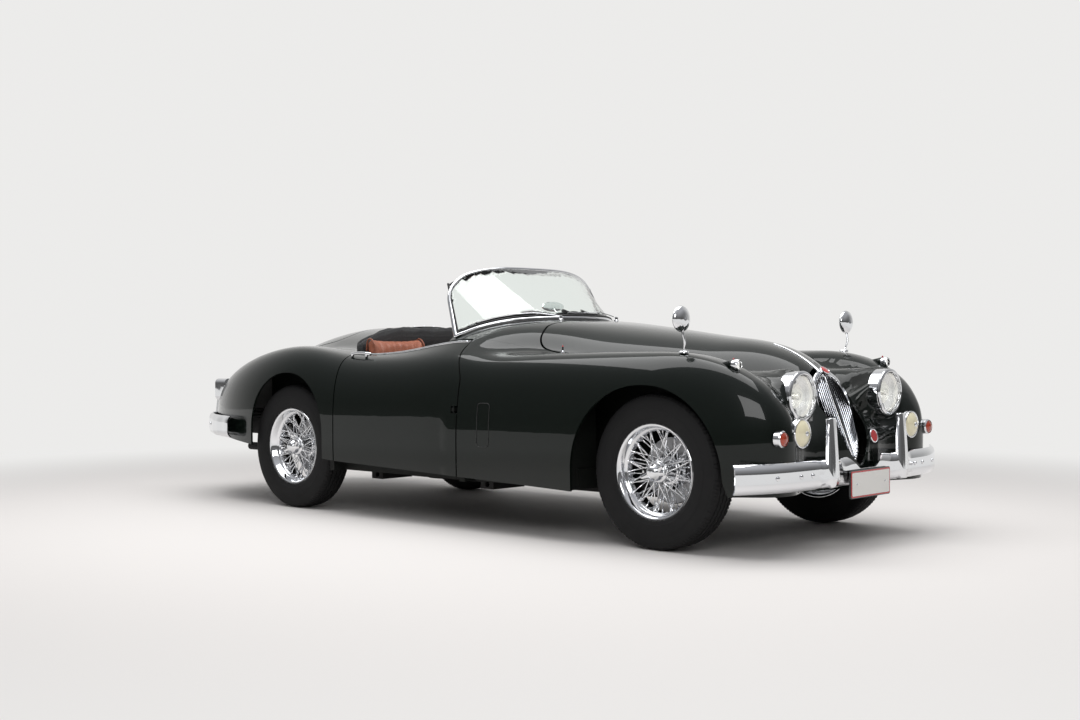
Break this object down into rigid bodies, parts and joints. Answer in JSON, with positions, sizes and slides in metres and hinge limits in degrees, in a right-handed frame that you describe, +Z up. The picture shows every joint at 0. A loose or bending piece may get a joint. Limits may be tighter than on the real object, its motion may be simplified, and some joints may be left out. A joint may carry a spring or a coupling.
{
  "type": "open two-seat convertible car",
  "caption": "Open two-seat sports car with separate body panels, wire wheels, steering, hinged doors, bonnet and boot lid.",
  "frame": {"origin": "on the ground under the middle of the car's outer box", "axes": "+X forward, +Y to the car's left, +Z up"},
  "size_m": [4.4569, 1.6842, 1.326],
  "materials": {
    "body_paint": "gloss",
    "inner_paint": "satin",
    "chassis_paint": "satin",
    "chrome": "polished",
    "tyre": "matte",
    "engine_alloy": "satin",
    "forged_steel": "satin",
    "lamp_glass": "polished",
    "glass": "polished",
    "leather": "satin",
    "wheel_rim": "gloss",
    "hood_cloth": "matte"
  },
  "bodies": {
    "body": {"bumper_front": "chrome", "bumper_rear": "chrome", "chassis": "chassis_paint", "controls": "forged_steel", "dashboard": "leather", "driveline": "engine_alloy", "engine": "engine_alloy", "exhaust": "forged_steel", "fog_lamps": "chrome", "front_suspension": "chassis_paint", "front_wing_left": "body_paint", "front_wing_right": "body_paint", "grille": "chrome", "hood": "hood_cloth", "lamp_glasses": "lamp_glass", "lamp_rims": "chrome", "mirrors": "chrome", "nose_panel": "body_paint", "rear_axle": "chassis_paint", "rear_deck": "body_paint", "rear_wing_left": "body_paint", "rear_wing_right": "body_paint", "screen_frame": "chrome", "screen_glass": "glass", "scuttle": "body_paint", "seats": "leather", "tub": "inner_paint"},
    "knuckle_left": {"knuckle_left": "forged_steel"},
    "knuckle_right": {"knuckle_right": "forged_steel"},
    "wheel_front_left": {"wheel_front_left": "chrome", "tyre_front_left": "tyre"},
    "wheel_front_right": {"wheel_front_right": "chrome", "tyre_front_right": "tyre"},
    "wheel_rear_left": {"wheel_rear_left": "chrome", "tyre_rear_left": "tyre"},
    "wheel_rear_right": {"wheel_rear_right": "chrome", "tyre_rear_right": "tyre"},
    "track_rods": {"track_rods": "forged_steel"},
    "steering_wheel": {"steering_wheel": "wheel_rim"},
    "door_left": {"door_left": "body_paint", "brightwork_left": "chrome"},
    "door_right": {"door_right": "body_paint", "brightwork_right": "chrome"},
    "bonnet": {"bonnet": "body_paint"},
    "boot_lid": {"boot_lid": "body_paint"}
  },
  "joints": [
    {"name": "steering", "type": "hinge", "parent": "body", "child": "steering_wheel", "pos_m": [-0.059, 0.33, 0.8], "axis": [0.9231, 0, -0.3846], "range_deg": [-480, 480]},
    {"name": "steer_left", "type": "hinge", "parent": "body", "child": "knuckle_left", "pos_m": [1.5665, 0.56, 0.345], "axis": [0, 0, 1], "range_deg": [-30, 30]},
    {"name": "steer_right", "type": "hinge", "parent": "body", "child": "knuckle_right", "pos_m": [1.5665, -0.56, 0.345], "axis": [0, 0, 1], "range_deg": [-30, 30]},
    {"name": "rack_slide", "type": "slide", "parent": "body", "child": "track_rods", "axis": [0, 1, 0], "range_m": [-0.07, 0.07]},
    {"name": "roll_front_left", "type": "hinge", "parent": "knuckle_left", "child": "wheel_front_left", "pos_m": [1.5665, 0.6555, 0.345], "axis": [0, 1, 0], "continuous": true},
    {"name": "roll_front_right", "type": "hinge", "parent": "knuckle_right", "child": "wheel_front_right", "pos_m": [1.5665, -0.6555, 0.345], "axis": [0, 1, 0], "continuous": true},
    {"name": "roll_rear_left", "type": "hinge", "parent": "body", "child": "wheel_rear_left", "pos_m": [-1.0245, 0.6555, 0.345], "axis": [0, 1, 0], "continuous": true},
    {"name": "roll_rear_right", "type": "hinge", "parent": "body", "child": "wheel_rear_right", "pos_m": [-1.0245, -0.6555, 0.345], "axis": [0, 1, 0], "continuous": true},
    {"name": "door_left_swing", "type": "hinge", "parent": "body", "child": "door_left", "pos_m": [0.364, 0.79334, 0.5], "axis": [0, 0, -1], "range_deg": [0, 68]},
    {"name": "door_right_swing", "type": "hinge", "parent": "body", "child": "door_right", "pos_m": [0.364, -0.79334, 0.5], "axis": [0, 0, 1], "range_deg": [0, 68]},
    {"name": "bonnet_lift", "type": "hinge", "parent": "body", "child": "bonnet", "pos_m": [0.71575, 0, 1.00033], "axis": [0, -1, 0], "range_deg": [0, 45]},
    {"name": "boot_lift", "type": "hinge", "parent": "body", "child": "boot_lid", "pos_m": [-1.15375, 0, 0.98119], "axis": [0, 1, 0], "range_deg": [0, 55]}
  ],
  "couplings": [
    {"joint": "steer_left", "follows": "steering", "ratio": -0.0625},
    {"joint": "steer_right", "follows": "steering", "ratio": -0.0625},
    {"joint": "rack_slide", "follows": "steering", "m_per_rad": 0.00775}
  ]
}
